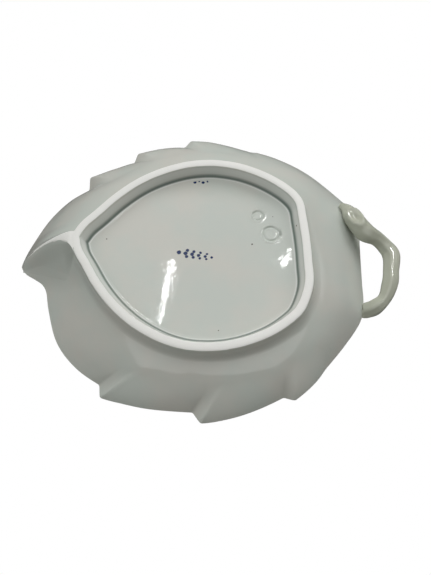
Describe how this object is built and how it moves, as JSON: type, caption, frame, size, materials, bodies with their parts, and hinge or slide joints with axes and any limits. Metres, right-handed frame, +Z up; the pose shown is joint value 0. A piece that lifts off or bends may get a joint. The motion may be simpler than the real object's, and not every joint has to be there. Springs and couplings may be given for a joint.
{
  "type": "gravy boat",
  "caption": "Shallow leaf-shaped porcelain gravy boat with a toothed rim, a pouring tip with a keel, a pointed foot ring and a twig handle at the stem end.",
  "frame": {"origin": "middle of the whole object's box in plan, at the height of the surface it stands on", "axes": "+Z up, -X towards the pouring tip, +X towards the twig handle, +Y to the side where the spout is pinched in"},
  "size_m": [0.2462, 0.1902, 0.0496],
  "materials": {
    "glazed_porcelain": "clear gloss glaze over white porcelain, faintly blue-green where it pools",
    "bare_foot": "bare fired porcelain, matt, on the standing face of the ring",
    "twig_glaze": "gloss glaze, slightly olive grey"
  },
  "bodies": {
    "root": {"leaf_bowl": "glazed_porcelain", "foot_ring": "bare_foot", "spout_keel": "glazed_porcelain", "twig_handle": "twig_glaze", "stem_stub": "twig_glaze"}
  },
  "joints": []
}
